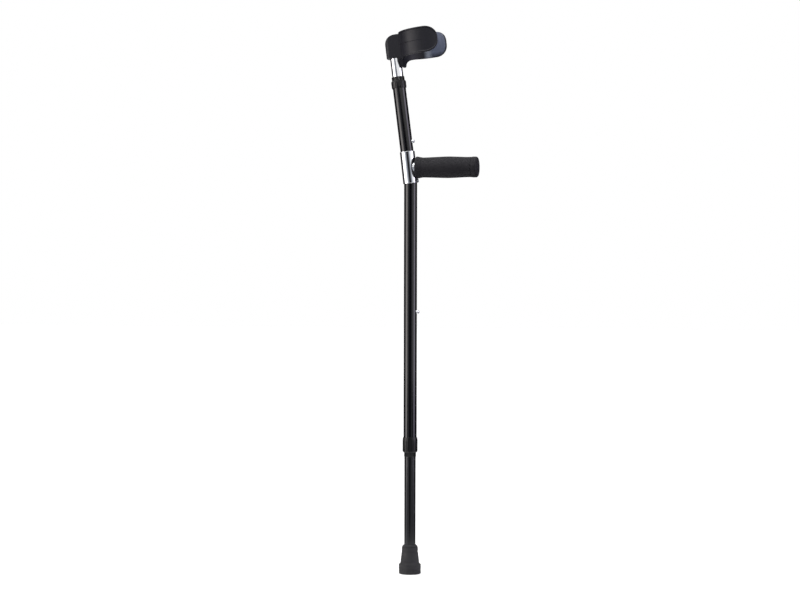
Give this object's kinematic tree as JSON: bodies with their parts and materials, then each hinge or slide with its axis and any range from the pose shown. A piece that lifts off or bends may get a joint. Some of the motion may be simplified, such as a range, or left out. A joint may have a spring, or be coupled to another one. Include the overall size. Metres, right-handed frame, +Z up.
{
  "type": "forearm crutch",
  "caption": "Forearm crutch with an open cuff and a side hand grip; its leg and its forearm tube telescope, each held by a snap button and a lock nut.",
  "frame": {"origin": "centre of the rubber foot's sole, on the axis of the leg and of the main tube's lower run", "axes": "+Z up along the main tube's lower run, +X forward along the hand grip, +Y to the left across the open cuff"},
  "size_m": [0.1596, 0.0916, 0.9226],
  "materials": {
    "grey_rubber": "matte",
    "bare_steel": "bare",
    "satin_black_tube": "satin black anodised",
    "chrome_plate": "polished",
    "natural_plastic": "matte",
    "black_nut_plastic": "matte",
    "gloss_black_tube": "gloss black anodised",
    "charcoal_grip": "matte",
    "dark_grey_plastic": "semi-gloss"
  },
  "bodies": {
    "frame": {"main_tube": "gloss_black_tube", "handle_bracket": "chrome_plate", "bracket_rivet": "bare_steel", "grip": "charcoal_grip", "grip_end_cap": "charcoal_grip"},
    "leg": {"leg_tube": "satin_black_tube", "ferrule": "grey_rubber", "ferrule_washer": "bare_steel", "leg_glide": "natural_plastic", "leg_button_spring": "bare_steel"},
    "leg_button": {"leg_snap_button": "chrome_plate"},
    "leg_collet_ring": {"leg_collet": "black_nut_plastic"},
    "leg_nut": {"leg_lock_nut": "black_nut_plastic"},
    "forearm": {"forearm_tube": "chrome_plate", "forearm_glide": "natural_plastic", "forearm_tube_plug": "natural_plastic", "forearm_button_spring": "bare_steel", "cuff": "dark_grey_plastic", "cuff_screw_upper": "bare_steel", "cuff_screw_lower": "bare_steel"},
    "forearm_button": {"forearm_snap_button": "chrome_plate"},
    "forearm_collet_ring": {"forearm_collet": "black_nut_plastic"},
    "forearm_nut": {"forearm_lock_nut": "black_nut_plastic"}
  },
  "joints": [
    {"name": "leg_slide", "type": "slide", "parent": "frame", "child": "leg", "axis": [0, 0, -1], "range_m": [0, 0.1524]},
    {"name": "leg_button_press", "type": "slide", "parent": "leg", "child": "leg_button", "axis": [-1, 0, 0], "range_m": [0, 0.0058], "stiffness_N_per_m": 600, "springref_m": -0.003, "deforming": ["leg_button_spring"]},
    {"name": "leg_nut_turn", "type": "hinge", "parent": "leg_collet_ring", "child": "leg_nut", "pos_m": [0, 0, 0.2185], "axis": [0, 0, -1], "range_deg": [0, 540]},
    {"name": "leg_collet_ease", "type": "slide", "parent": "frame", "child": "leg_collet_ring", "axis": [0, 0, -1], "range_m": [0, 0.00225]},
    {"name": "forearm_slide", "type": "slide", "parent": "frame", "child": "forearm", "axis": [-0.1265, 0, 0.992], "range_m": [0, 0.0762], "deforming": ["forearm_snap_button"]},
    {"name": "forearm_button_press", "type": "slide", "parent": "forearm", "child": "forearm_button", "axis": [-0.992, 0, -0.1265], "range_m": [0, 0.0058], "stiffness_N_per_m": 600, "springref_m": -0.003, "deforming": ["forearm_button_spring"]},
    {"name": "forearm_nut_turn", "type": "hinge", "parent": "forearm_collet_ring", "child": "forearm_nut", "pos_m": [-0.02096, 0, 0.82927], "axis": [-0.1265, 0, 0.992], "range_deg": [0, 540]},
    {"name": "forearm_collet_ease", "type": "slide", "parent": "frame", "child": "forearm_collet_ring", "axis": [-0.1265, 0, 0.992], "range_m": [0, 0.00225]}
  ],
  "couplings": [
    {"joint": "leg_nut_turn", "follows": "leg_collet_ease", "rad_per_m": 4188.7},
    {"joint": "forearm_nut_turn", "follows": "forearm_collet_ease", "rad_per_m": 4188.7}
  ]
}
